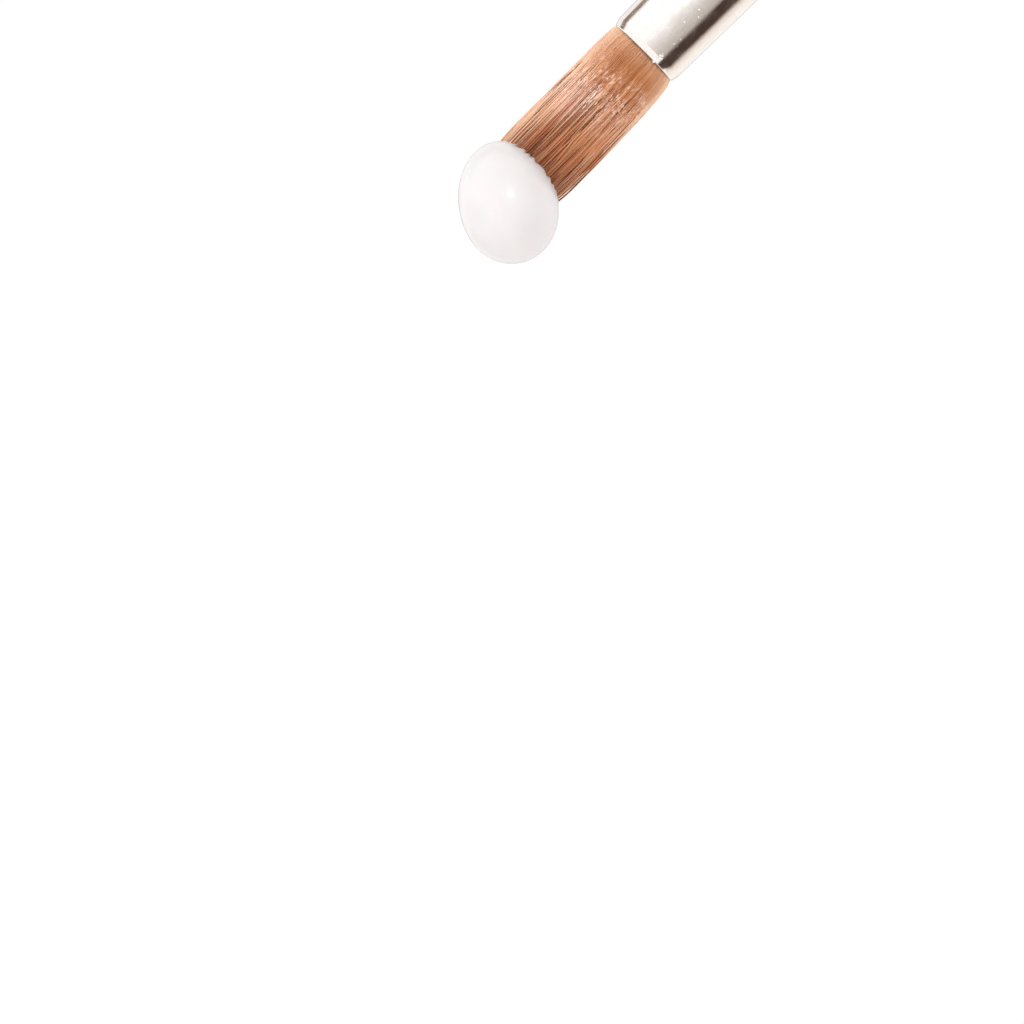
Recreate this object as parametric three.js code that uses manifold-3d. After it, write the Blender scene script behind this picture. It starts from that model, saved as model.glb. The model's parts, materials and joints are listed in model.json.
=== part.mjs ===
// Acrylic nail brush: a round kolinsky tuft in a nickel-plated ferrule, which is
// crimped onto a turned, lacquered hardwood handle, with a bead of wet acrylic on
// the tuft's tip.
//
// Millimetres, +Z up. The brush's axis is Z and its tip points down, as it is held
// over a nail. The origin is the grip, the centre of the ferrule's rear edge, where
// finger and thumb meet. The tuft's tip is flattened: it is wider along X than Y.

import * as THREE from "three";
import { mergeVertices } from "three/addons/utils/BufferGeometryUtils.js";
import Module from "manifold-3d";

// ---------------------------------------------------------------- dimensions

const ROUND = 40; // facets round a turned piece

// Ferrule: a slightly conical tube, open at both ends.
const FERRULE_LENGTH = 34;
const FERRULE_WALL = 0.35;
const MOUTH_RADIUS = 3.72; // outside, at the hair end
const REAR_RADIUS = 4.4; // outside, at the handle end
const LIP_LENGTH = 0.8; // the mouth's edge is rolled in over this length
const LIP_DEPTH = 0.17;
const CRIMPS = [-7.2, -4.4]; // height of each crimp ring's middle
const CRIMP_DEPTH = 0.4;
const CRIMP_HALF_WIDTH = 0.95;

// Hair outside the ferrule. Distances along it are from the ferrule's mouth.
const FREE_HAIR = 20.6;
const HAIR_AT_MOUTH = 3.42; // radius
const BELLY_SWELL = 0.41; // how much the radius grows to the belly
const SWELL_LENGTH = 1.5;
const TAPER_START = 12.5;
const TIP_RADIUS = 0.3;
const FLATNESS = 0.34; // how much thinner the tip is along Y than along X
const FLATTENED_BY = 14;
const FLUTES = 24;
const FLUTE_DEPTH = 0.05;

// The free hair bends about a ball, which stands in a socket in the fixed hair.
const FLEX_DISTANCE = 4.2; // of the ball's centre
const BALL_RADIUS = 3.75;
const BALL_GAP = 0.15;

// Hair inside the ferrule, its binding and the plug. Depths are from the mouth.
const HAIR_IN_FERRULE = 3.15; // radius
const HAIR_DEPTH = 12.5;
const BOUND_RADIUS = 2.82; // where the thread pulls the hair in
const BINDING_DEPTH = 8.6;
const BINDING_TURNS = 4;
const THREAD_DIAMETER = 0.36;
const THREAD_PITCH = 0.41;
const PLUG_FRONT = 11;
const PLUG_BACK = 15.6;
const PLUG_GAP = 0.12;

// Handle: a tenon in the ferrule, a swelling grip and a long taper.
const TENON_LENGTH = 12.5;
const TENON_GAP = 0.1;
const HANDLE_LENGTH = 125;
const SHOULDER_RADIUS = 4.5;
const SHOULDER_GAP = 0.1;
const GRIP_RADIUS = 5;
const GRIP_HEIGHT = 17; // where the handle is thickest
const TAIL_RADIUS = 2.4;
const TAIL_ROUNDING = 3;
const TAIL_FLAT = 1.5; // radius of the flat end face
const DIP_LENGTH = 22; // the tail is dipped in enamel this far
const DIP_COAT = 0.4;
const DIP_GAP = 0.1;
const GLUE_LENGTH = 1.2;
const GLUE_BORE = 2.4;

// Bead: an egg whose long axis leans from the brush's axis as it sags.
const BEAD_LONG = 5.6; // half axes: along the sag, across it, and front to back
const BEAD_ACROSS = 4.45;
const BEAD_DEEP = 4.9;
const BEAD_EGG = 0.06; // how much wider the sagging end is, and narrower the other
const BEAD_SAG = THREE.MathUtils.degToRad(60); // from straight down, towards +X
const BEAD_DISTANCE = 18.1; // of its centre from the mouth
const BEAD_SHIFT_X = 0.82;
const BEAD_SHIFT_Y = -1;
const BEAD_GAP = 0.15;

// The height of a point this far outside the ferrule's mouth, or this deep inside it.
const outside = (distance) => -FERRULE_LENGTH - distance;
const inside = (depth) => -FERRULE_LENGTH + depth;

// ---------------------------------------------------------------- materials

const finish = (color, roughness, metalness = 0) =>
  new THREE.MeshStandardMaterial({ color, roughness, metalness });

const NICKEL = finish("#d9d4cd", 0.12, 1);
const LACQUERED_WOOD = finish("#5e2a1d", 0.25);
const ENAMEL = finish("#241614", 0.2);
const HAIR = finish("#b4693c", 0.45);
const BOUND_HAIR = finish("#8f4f2b", 0.55);
const WET_ACRYLIC = finish("#f4f1ef", 0.25);
const EPOXY = finish("#c98f3a", 0.3);
const COTTON = finish("#e3d9c3", 0.8);
const GLUE = finish("#d8c9a2", 0.6);

// ---------------------------------------------------------------- geometry helpers

// Numbers from a to b in equal steps, both ends included.
function steps(a, b, count) {
  return Array.from({ length: count + 1 }, (_, i) => a + ((b - a) * i) / count);
}

// Angles round a full turn, without the last, which is the first again.
const turn = (count) => steps(0, 2 * Math.PI, count).slice(0, -1);

// A turned solid: [radius, z] points that start and end on the axis, or close on themselves.
function turned(points) {
  const profile = points.map(([radius, z]) => new THREE.Vector2(radius, z));
  return new THREE.LatheGeometry(profile, ROUND).rotateX(Math.PI / 2);
}

// A solid through rings of points, all in the same order, from the lowest ring to the
// highest. A fan closes each end.
function lofted(rings) {
  const count = rings[0].length;
  const points = rings.flat();
  const faces = [];
  for (let start = 0; start < points.length - count; start += count) {
    for (let i = 0; i < count; i++) {
      const a = start + i;
      const b = start + ((i + 1) % count);
      faces.push(a, b, b + count, a, b + count, a + count);
    }
  }
  const closeEnd = (start, order) => {
    const middle = new THREE.Vector3();
    points.slice(start, start + count).forEach((point) => middle.addScaledVector(point, 1 / count));
    const centre = points.push(middle) - 1;
    for (let i = 0; i < count; i++) {
      faces.push(centre, ...order(start + i, start + ((i + 1) % count)));
    }
  };
  closeEnd(0, (a, b) => [b, a]);
  closeEnd(count * (rings.length - 1), (a, b) => [a, b]);
  return new THREE.BufferGeometry().setFromPoints(points).setIndex(faces);
}

const wasm = await Module();
wasm.setup();

function solidOf(geometry) {
  const bare = geometry.clone();
  bare.deleteAttribute("normal");
  bare.deleteAttribute("uv");
  const merged = mergeVertices(bare, 1e-4);
  return new wasm.Manifold(
    new wasm.Mesh({
      numProp: 3,
      vertProperties: merged.attributes.position.array,
      triVerts: new Uint32Array(merged.index.array),
    }),
  );
}

function geometryOf(solid) {
  const mesh = solid.getMesh();
  return new THREE.BufferGeometry()
    .setAttribute("position", new THREE.BufferAttribute(mesh.vertProperties, 3))
    .setIndex(new THREE.BufferAttribute(mesh.triVerts, 1));
}

// ---------------------------------------------------------------- ferrule

// How deep the crimp rings press in at this height.
function crimpAt(z) {
  const depths = CRIMPS.map((middle) => {
    const share = Math.min(1, Math.abs(z - middle) / CRIMP_HALF_WIDTH);
    return CRIMP_DEPTH * Math.cos((share * Math.PI) / 2) ** 2;
  });
  return Math.max(...depths);
}

const ferruleOutside = (z) =>
  THREE.MathUtils.mapLinear(z, -FERRULE_LENGTH, 0, MOUTH_RADIUS, REAR_RADIUS) - crimpAt(z);

const ferruleBore = (z) => ferruleOutside(z) - FERRULE_WALL;

// Heights from a given one up to the ferrule's rear edge, closely spaced over the crimps.
function crimpedHeights(first) {
  const overCrimps = CRIMPS.map((middle) => steps(middle - CRIMP_HALF_WIDTH, middle + CRIMP_HALF_WIDTH, 6));
  return [first, ...overCrimps.flat(), 0];
}

function ferruleGeometry() {
  const lip = steps(0, Math.PI / 2, 4).map((angle) => {
    const z = -FERRULE_LENGTH + LIP_LENGTH * (1 - Math.cos(angle));
    return [ferruleOutside(z) - LIP_DEPTH * (1 - Math.sin(angle)), z];
  });
  const heights = crimpedHeights(-FERRULE_LENGTH + 2 * LIP_LENGTH);
  const wall = heights.map((z) => [ferruleOutside(z), z]);
  const bore = heights.map((z) => [ferruleBore(z), z]).reverse();
  const mouth = [ferruleBore(-FERRULE_LENGTH), -FERRULE_LENGTH];
  return turned([mouth, ...lip, ...wall, ...bore, mouth]);
}

// ---------------------------------------------------------------- hair

// The free hair's half width along X.
function hairWidth(distance) {
  const swollen = HAIR_AT_MOUTH + BELLY_SWELL * (1 - Math.exp(-distance / SWELL_LENGTH));
  const along = THREE.MathUtils.clamp((distance - TAPER_START) / (FREE_HAIR - TAPER_START), 0, 1);
  return Math.max(TIP_RADIUS, swollen * (1 - along ** 2.4) ** 0.625);
}

// Its half thickness along Y.
function hairThickness(distance) {
  return hairWidth(distance) * (1 - FLATNESS * THREE.MathUtils.smoothstep(distance, 0, FLATTENED_BY));
}

// An oval ring of points with these half axes.
function oval(angles, halfX, halfY, z) {
  return angles.map((angle) => new THREE.Vector3(halfX * Math.cos(angle), halfY * Math.sin(angle), z));
}

// The hair that bends: a flattening, fluted taper, with the ball that it bends about on top.
function hairTuftGeometry() {
  const angles = turn(2 * FLUTES);
  const fluted = (halfX, halfY, z) =>
    oval(angles, halfX, halfY, z).map((point, i) => {
      const depth = (i % 2) * Math.min(1, halfX) * FLUTE_DEPTH;
      return point.multiply(new THREE.Vector3(1 - depth, 1 - depth, 1));
    });
  const taper = [...steps(FREE_HAIR, TAPER_START, 10), ...steps(TAPER_START, FLEX_DISTANCE, 4).slice(1)];
  const hair = taper.map((distance) => fluted(hairWidth(distance), hairThickness(distance), outside(distance)));
  const ball = steps(0, Math.PI / 2, 6).slice(1, -1).map((angle) => {
    const share = Math.cos(angle);
    const z = outside(FLEX_DISTANCE) + BALL_RADIUS * Math.sin(angle);
    return fluted(BALL_RADIUS * share, hairThickness(FLEX_DISTANCE) * share, z);
  });
  return lofted([...hair, ...ball]);
}

// The hair that doesn't bend: held by the ferrule, bound with thread and set in epoxy. The
// socket for the ball is in its lower end.
function hairRootGeometry() {
  const socket = BALL_RADIUS + BALL_GAP;
  const rim = Math.asin((hairWidth(FLEX_DISTANCE / 2) - 0.1) / socket);
  const rimDistance = FLEX_DISTANCE - socket * Math.cos(rim);
  const hollow = steps(0, rim, 8).map((angle) => [
    socket * Math.sin(angle),
    outside(FLEX_DISTANCE) + socket * Math.cos(angle),
  ]);
  const belly = steps(rimDistance, 0.5, 4).map((distance) => [hairWidth(distance), outside(distance)]);
  const bindingEnd = BINDING_DEPTH + BINDING_TURNS * THREAD_PITCH;
  return turned([
    ...hollow,
    ...belly,
    [HAIR_IN_FERRULE, outside(0.2)],
    [HAIR_IN_FERRULE, inside(BINDING_DEPTH - 0.7)],
    [BOUND_RADIUS, inside(BINDING_DEPTH - 0.3)],
    [BOUND_RADIUS, inside(bindingEnd + 0.3)],
    [BOUND_RADIUS + 0.1, inside(HAIR_DEPTH - 0.4)],
    [BOUND_RADIUS - 0.2, inside(HAIR_DEPTH)],
    [0, inside(HAIR_DEPTH)],
  ]);
}

// The thread's centre line, side by side round the hair's root.
class Binding extends THREE.Curve {
  getPoint(share, target = new THREE.Vector3()) {
    const turns = share * BINDING_TURNS;
    const angle = turns * 2 * Math.PI;
    const radius = BOUND_RADIUS + THREAD_DIAMETER / 2 + 0.05;
    return target.set(radius * Math.cos(angle), radius * Math.sin(angle), inside(BINDING_DEPTH + turns * THREAD_PITCH));
  }
}

function bindingThreadGeometry() {
  const section = turn(8).map((angle) =>
    new THREE.Vector2(Math.cos(angle), Math.sin(angle)).multiplyScalar(THREAD_DIAMETER / 2),
  );
  return new THREE.ExtrudeGeometry(new THREE.Shape(section), {
    steps: 18 * BINDING_TURNS,
    extrudePath: new Binding(),
    bevelEnabled: false,
  });
}

// A cup of epoxy that the hair's end stands in. It fills the ferrule behind the hair.
function epoxyPlugGeometry() {
  const wall = (depth) => [ferruleBore(inside(depth)) - PLUG_GAP, inside(depth)];
  const cup = BOUND_RADIUS + 0.1 + PLUG_GAP;
  const floor = HAIR_DEPTH + PLUG_GAP;
  return turned([
    [0, inside(floor)],
    [cup, inside(floor)],
    [cup, inside(PLUG_FRONT)],
    wall(PLUG_FRONT),
    wall(PLUG_BACK),
    [ferruleBore(inside(PLUG_BACK)) - 1, inside(PLUG_BACK - 0.4)],
    [0, inside(PLUG_BACK - 0.7)],
  ]);
}

// ---------------------------------------------------------------- handle

// The handle's outside, from its shoulder to the start of its rounded end.
function handleRadius(z) {
  if (z < GRIP_HEIGHT) {
    const toGo = 1 - z / GRIP_HEIGHT;
    return THREE.MathUtils.lerp(GRIP_RADIUS, SHOULDER_RADIUS, toGo ** 2);
  }
  const fall = THREE.MathUtils.smoothstep(z, GRIP_HEIGHT, HANDLE_LENGTH);
  return THREE.MathUtils.lerp(GRIP_RADIUS, TAIL_RADIUS, fall);
}

const DIP_EDGE = HANDLE_LENGTH - DIP_LENGTH;
const ROUNDING_START = HANDLE_LENGTH - TAIL_ROUNDING;
const PEG_END = ROUNDING_START - 1;

function handleGeometry() {
  const tenon = crimpedHeights(-TENON_LENGTH + 0.8).map((z) => [ferruleBore(z) - TENON_GAP, z]);
  const neck = ferruleBore(0) - TENON_GAP;
  const body = steps(SHOULDER_GAP + 0.3, DIP_EDGE, 20).map((z) => [handleRadius(z), z]);
  const peg = steps(DIP_EDGE, PEG_END, 4).map((z) => [handleRadius(z) - DIP_COAT - DIP_GAP, z]);
  return turned([
    [0, -TENON_LENGTH],
    [ferruleBore(-TENON_LENGTH) - 0.8, -TENON_LENGTH],
    ...tenon,
    [neck, SHOULDER_GAP],
    [SHOULDER_RADIUS - 0.2, SHOULDER_GAP],
    ...body,
    ...peg,
    [0, PEG_END],
  ]);
}

// The enamel that the tail is dipped in, with a rounded end and a small flat face.
function tailDipGeometry() {
  const edge = DIP_EDGE + DIP_GAP;
  const bottom = PEG_END + DIP_GAP;
  const lining = steps(bottom, edge, 4).map((z) => [handleRadius(z) - DIP_COAT, z]);
  const coat = steps(edge + 0.3, ROUNDING_START, 5).map((z) => [handleRadius(z), z]);
  const end = steps(0, Math.PI / 2, 5).slice(1).map((angle) => [
    THREE.MathUtils.lerp(TAIL_FLAT, handleRadius(ROUNDING_START), Math.cos(angle)),
    ROUNDING_START + TAIL_ROUNDING * Math.sin(angle),
  ]);
  return turned([[0, bottom], ...lining, [handleRadius(edge) - 0.15, edge], ...coat, ...end, [0, HANDLE_LENGTH]]);
}

// The adhesive squeezed out ahead of the tenon when the handle was pushed home.
function handleAdhesiveGeometry() {
  const back = -TENON_LENGTH - TENON_GAP;
  const front = back - GLUE_LENGTH;
  const ring = [
    [GLUE_BORE, back],
    [GLUE_BORE + 0.3, (front + back) / 2],
    [ferruleBore(front) - TENON_GAP, front],
    [ferruleBore(back) - TENON_GAP, back],
  ];
  return turned([...ring, ring[0]]);
}

// ---------------------------------------------------------------- bead

// The space that the tuft's end takes in the bead, open at the top.
function beadPocket() {
  const above = BEAD_DISTANCE - 2 * BEAD_LONG;
  const angles = turn(ROUND);
  const ring = (distance, depth) =>
    oval(angles, hairWidth(distance) + BEAD_GAP, hairThickness(distance) + BEAD_GAP, outside(depth));
  const rings = steps(FREE_HAIR, TAPER_START, 10).map((distance) => ring(distance, distance));
  return solidOf(lofted([ring(FREE_HAIR, FREE_HAIR + BEAD_GAP), ...rings, ring(above, above)]));
}

function acrylicBeadGeometry() {
  const egg = new THREE.SphereGeometry(1, 32, 20);
  const position = egg.attributes.position;
  const point = new THREE.Vector3();
  for (let i = 0; i < position.count; i++) {
    point.fromBufferAttribute(position, i);
    const girth = 1 - BEAD_EGG * point.y;
    position.setXYZ(i, point.x * girth * BEAD_ACROSS, point.y * BEAD_LONG, point.z * girth * BEAD_DEEP);
  }
  // The wider end points down once Y is turned up, and then it leans towards +X.
  egg.rotateX(Math.PI / 2);
  egg.rotateY(-BEAD_SAG);
  egg.translate(BEAD_SHIFT_X, BEAD_SHIFT_Y, outside(BEAD_DISTANCE));
  return geometryOf(solidOf(egg).subtract(beadPocket()));
}

// ---------------------------------------------------------------- assembly

function named(name, geometry, material) {
  const mesh = new THREE.Mesh(geometry, material);
  mesh.name = name;
  return mesh;
}

const bead = new THREE.Group();
bead.add(named("acrylic_bead", acrylicBeadGeometry(), WET_ACRYLIC));

const tuft = new THREE.Group();
tuft.add(named("hair_tuft", hairTuftGeometry(), HAIR), bead);

const brush = new THREE.Group();
brush.add(
  named("handle", handleGeometry(), LACQUERED_WOOD),
  named("tail_dip", tailDipGeometry(), ENAMEL),
  named("ferrule", ferruleGeometry(), NICKEL),
  named("handle_adhesive", handleAdhesiveGeometry(), GLUE),
  named("epoxy_plug", epoxyPlugGeometry(), EPOXY),
  named("binding_thread", bindingThreadGeometry(), COTTON),
  named("hair_root", hairRootGeometry(), BOUND_HAIR),
  tuft,
);

export default brush;
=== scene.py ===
import json
import math
import random

import bpy
import numpy as np
from mathutils import Matrix, Vector, noise

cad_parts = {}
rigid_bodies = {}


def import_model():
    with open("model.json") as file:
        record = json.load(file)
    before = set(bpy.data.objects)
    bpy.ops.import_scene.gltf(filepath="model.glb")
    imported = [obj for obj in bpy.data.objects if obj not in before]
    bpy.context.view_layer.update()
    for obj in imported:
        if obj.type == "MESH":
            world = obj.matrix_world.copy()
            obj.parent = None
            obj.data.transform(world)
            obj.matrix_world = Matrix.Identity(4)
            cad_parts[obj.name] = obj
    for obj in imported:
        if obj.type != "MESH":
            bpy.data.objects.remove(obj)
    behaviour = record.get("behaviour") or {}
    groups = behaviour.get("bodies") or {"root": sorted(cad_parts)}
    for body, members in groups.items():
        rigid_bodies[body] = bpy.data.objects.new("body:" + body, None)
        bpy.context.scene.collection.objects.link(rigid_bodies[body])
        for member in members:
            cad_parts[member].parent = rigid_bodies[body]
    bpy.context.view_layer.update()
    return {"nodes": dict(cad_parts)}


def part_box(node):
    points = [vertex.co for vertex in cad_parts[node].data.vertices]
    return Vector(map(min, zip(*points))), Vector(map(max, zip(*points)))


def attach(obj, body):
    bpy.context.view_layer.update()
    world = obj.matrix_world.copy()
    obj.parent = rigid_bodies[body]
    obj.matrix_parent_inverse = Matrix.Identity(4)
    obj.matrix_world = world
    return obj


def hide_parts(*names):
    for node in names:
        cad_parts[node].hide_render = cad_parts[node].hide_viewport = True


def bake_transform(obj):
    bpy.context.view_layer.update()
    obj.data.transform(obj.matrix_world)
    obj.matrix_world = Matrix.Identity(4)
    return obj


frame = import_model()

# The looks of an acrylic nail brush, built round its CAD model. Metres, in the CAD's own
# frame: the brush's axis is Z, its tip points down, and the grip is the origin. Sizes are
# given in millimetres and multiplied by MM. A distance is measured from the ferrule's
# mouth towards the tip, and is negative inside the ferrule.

MM = 0.001
SEED = 7

# ---------------------------------------------------------------- the brush's sizes

FERRULE_LOW, FERRULE_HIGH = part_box("ferrule")
TAIL_LOW, TAIL_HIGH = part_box("tail_dip")
MOUTH = FERRULE_LOW.z
REAR_RADIUS = FERRULE_HIGH.x
MOUTH_RADIUS = 3.72 * MM
FERRULE_WALL = 0.35 * MM
LIP_LENGTH = 0.8 * MM
LIP_DEPTH = 0.2 * MM
CRIMPS = (-7.2 * MM, -4.4 * MM)
CRIMP_DEPTH = 0.4 * MM
CRIMP_HALF_WIDTH = 0.95 * MM

FREE_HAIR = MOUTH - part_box("hair_tuft")[0].z     # the hair's length outside the ferrule
HAIR_AT_MOUTH = 3.36 * MM
SPRING = 0.25 * MM         # how far the hair springs out just past the ferrule
SPRING_LENGTH = 0.35 * MM
BELLY_SWELL = 0.28 * MM
SWELL_LENGTH = 3.2 * MM
TAPER_START = 12.5 * MM
TIP_RADIUS = 0.3 * MM
FLATNESS = 0.34
FLATTENED_BY = 14 * MM
HAIR_SAG = 0.26 * MM       # how far the bead's weight draws the tuft towards +X
SAG_LENGTH = 4 * MM

HANDLE_END = TAIL_HIGH.z
DIP_EDGE = TAIL_LOW.z
SHOULDER_RADIUS = 4.5 * MM
GRIP_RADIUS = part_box("handle")[1].x
GRIP_HEIGHT = 17 * MM
TAIL_RADIUS = 2.4 * MM
TAIL_ROUNDING = 3 * MM
TAIL_FLAT = 1.5 * MM

LOCKS = 34
PATCH_X, PATCH_Y = -1.7 * MM, -3 * MM        # a dusty patch on the hair's front
PATCH_WIDTH = 1.3 * MM

BEAD_HALF = Vector((4.45, 5.6, 4.9)) * MM    # across its sag, along it, and front to back
BEAD_EGG = 0.06
BEAD_SAG = math.radians(60)
BEAD_CENTRE = Vector((0.82 * MM, -1.0 * MM, MOUTH - 18.1 * MM))


# ---------------------------------------------------------------- meshes

def mesh_piece(name, points, faces, crease=40):
    """A smooth-shaded mesh object, with edges sharper than crease degrees left sharp."""
    mesh = bpy.data.meshes.new(name)
    mesh.from_pydata([tuple(p) for p in points], [], [tuple(f) for f in faces])
    mesh.validate()
    mesh.shade_smooth()
    mesh.set_sharp_from_angle(angle=math.radians(crease))
    piece = bpy.data.objects.new(name, mesh)
    bpy.context.scene.collection.objects.link(piece)
    return piece


def turned(name, profile, sides=128, crease=40):
    """A turned piece. Its profile of (radius, z) points starts and ends on the axis, or closes
    on itself."""
    points, rings = [], []
    for radius, z in profile:
        if radius < 1e-7:
            rings.append([len(points)] * sides)
            points.append((0, 0, z))
            continue
        rings.append(list(range(len(points), len(points) + sides)))
        for i in range(sides):
            angle = 2 * math.pi * i / sides
            points.append((radius * math.cos(angle), radius * math.sin(angle), z))
    faces = []
    closed = profile[0][0] > 1e-7
    pairs = list(zip(rings, rings[1:])) + ([(rings[-1], rings[0])] if closed else [])
    for low, high in pairs:
        for i in range(sides):
            j = (i + 1) % sides
            corners = list(dict.fromkeys((low[i], low[j], high[j], high[i])))
            if len(corners) > 2:
                faces.append(corners)
    return mesh_piece(name, points, faces, crease)


def add_values(piece, name, values):
    """A number for each of the piece's points, which its material reads."""
    attribute = piece.data.attributes.new(name, "FLOAT", "POINT")
    attribute.data.foreach_set("value", np.asarray(values, np.float32))


def add_places(piece, name="rest_place"):
    """Each point's place at rest in millimetres, so that a pattern stays put when the piece
    bends."""
    places = np.empty(len(piece.data.vertices) * 3, np.float32)
    piece.data.vertices.foreach_get("co", places)
    attribute = piece.data.attributes.new(name, "FLOAT_VECTOR", "POINT")
    attribute.data.foreach_set("vector", places / MM)


def steps(start, end, count):
    return [start + (end - start) * i / count for i in range(count + 1)]


# ---------------------------------------------------------------- materials

class Look:
    """A material with one Principled shader, and short calls that add its nodes."""

    def __init__(self, name, **sockets):
        self.material = bpy.data.materials.new(name)
        self.material.use_nodes = True
        self.tree = self.material.node_tree
        self.shader = self.tree.nodes["Principled BSDF"]
        for socket, value in sockets.items():
            self.shader.inputs[socket.replace("_", " ")].default_value = value

    def node(self, kind, inputs=None, **settings):
        made = self.tree.nodes.new("ShaderNode" + kind)
        for key, value in settings.items():
            setattr(made, key, value)
        for key, value in (inputs or {}).items():
            self.feed(made.inputs[key], value)
        return made

    def feed(self, socket, value):
        if isinstance(value, bpy.types.NodeSocket):
            self.tree.links.new(value, socket)
        else:
            socket.default_value = value

    def to_shader(self, socket, value):
        self.feed(self.shader.inputs[socket], value)

    def places(self, scale=(1, 1, 1), attribute=None):
        """Coordinates in millimetres, stretched by scale."""
        if attribute:
            source = self.node("Attribute", attribute_name=attribute).outputs["Vector"]
            size = Vector(scale)
        else:
            source = self.node("TexCoord").outputs["Object"]
            size = Vector(scale) / MM
        return self.node("Mapping", {"Vector": source, "Scale": size}).outputs["Vector"]

    def value(self, attribute):
        return self.node("Attribute", attribute_name=attribute).outputs["Fac"]

    def noise(self, places, scale, detail=4, roughness=0.55, distortion=0):
        inputs = {
            "Vector": places,
            "Scale": scale,
            "Detail": detail,
            "Roughness": roughness,
            "Distortion": distortion,
        }
        return self.node("TexNoise", inputs).outputs["Fac"]

    def ramp(self, factor, *stops):
        """A value or colour for each stop, given as (position, value or colour)."""
        made = self.node("ValToRGB", {"Fac": factor})
        elements = made.color_ramp.elements
        while len(elements) < len(stops):
            elements.new(0.5)
        for element, (position, colour) in zip(elements, stops):
            element.position = position
            grey = isinstance(colour, (int, float))
            element.color = (colour, colour, colour, 1) if grey else (*colour, 1)
        return made.outputs["Color"]

    def between(self, factor, first, second, blend="MIX"):
        made = self.node("Mix", data_type="RGBA", blend_type=blend)
        self.feed(made.inputs["Factor"], factor)
        for socket, colour in ((made.inputs[6], first), (made.inputs[7], second)):
            self.feed(socket, colour if isinstance(colour, bpy.types.NodeSocket) else (*colour, 1))
        return made.outputs[2]

    def math(self, operation, first, second):
        made = self.node("Math", operation=operation)
        self.feed(made.inputs[0], first)
        self.feed(made.inputs[1], second)
        return made.outputs[0]

    def bump(self, height, strength, distance):
        """Height is from 0 to 1, and distance is what 1 stands for, in metres."""
        inputs = {"Height": height, "Strength": strength, "Distance": distance}
        self.to_shader("Normal", self.node("Bump", inputs).outputs["Normal"])


def nickel_look():
    """Bright plate over drawn brass: cloudy handling marks, faint pitting and fine lines along
    the tube."""
    look = Look("nickel", Metallic=1.0)
    cloud = look.noise(look.places((1, 1, 0.6)), 0.9, detail=6, roughness=0.7)
    lines = look.noise(look.places((9, 9, 0.25)), 1.0, detail=3)
    pits = look.noise(look.places(), 5.0, detail=4, roughness=0.65)
    plate = look.ramp(cloud, (0.35, (0.87, 0.84, 0.81)), (0.65, (0.94, 0.92, 0.90)))
    mottle = look.ramp(pits, (0.36, 0.94), (0.5, 1.0))
    look.to_shader("Base Color", look.between(1.0, plate, mottle, "MULTIPLY"))
    haze = look.ramp(cloud, (0.42, 0.07), (0.6, 0.2))
    uneven = look.ramp(pits, (0.3, 1.4), (0.6, 0.8))
    look.to_shader("Roughness", look.math("MULTIPLY", haze, uneven))
    height = look.math("ADD", look.math("MULTIPLY", lines, 0.25), cloud)
    look.bump(look.math("ADD", height, look.math("MULTIPLY", pits, 0.6)), 0.4, 0.02 * MM)
    return look.material


def hair_look(name):
    """Red-brown sable hair. Each hair has its own tone, and the hair grows darker towards the bead.
    The tuft's left side and right edge are painted paler, as painted light where the lamps from the
    sides fall."""
    look = Look(name, IOR=1.5, Specular_IOR_Level=0.45)
    look.shader.inputs["Specular Tint"].default_value = (1.0, 0.9, 0.8, 1)
    along = look.value("along")
    tone = look.value("tone")
    painted_side_light = look.value("painted_side_light")
    places = look.places((1.0, 1.0, 0.35), "rest_place")
    patch = look.noise(places, 0.9, detail=3)
    length = look.ramp(
        along,
        # This first stop is a painted shadow where the hair goes into the ferrule's mouth.
        (0.005, (0.13, 0.06, 0.03)),
        (0.013, (0.65, 0.315, 0.158)),
        (0.10, (0.55, 0.196, 0.066)),
        (0.22, (0.60, 0.235, 0.098)),
        (0.33, (0.64, 0.265, 0.130)),
        (0.44, (0.51, 0.165, 0.061)),
        (0.55, (0.42, 0.119, 0.040)),
        (0.66, (0.345, 0.100, 0.036)),
        (1.0, (0.27, 0.08, 0.03)),
    )
    tones = look.ramp(
        tone,
        (0.0, (0.30, 0.22, 0.18)),
        (0.4, (0.88, 0.85, 0.83)),
        (0.7, (1.1, 1.16, 1.2)),
        (1.0, (1.4, 2.4, 3.6)),
    )
    coloured = look.between(1.0, length, tones, "MULTIPLY")
    patches = look.ramp(patch, (0.3, 0.9), (0.7, 1.08))
    coloured = look.between(1.0, coloured, patches, "MULTIPLY")
    # Paler peach where the painted side light is: painted light on the tuft's left side and right
    # edge.
    coloured = look.between(painted_side_light, coloured, (0.93, 0.63, 0.45))
    look.to_shader("Base Color", dusted_and_glinting(look, coloured, along))
    look.to_shader("Roughness", look.ramp(patch, (0.35, 0.22), (0.65, 0.38)))
    return look.material


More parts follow.
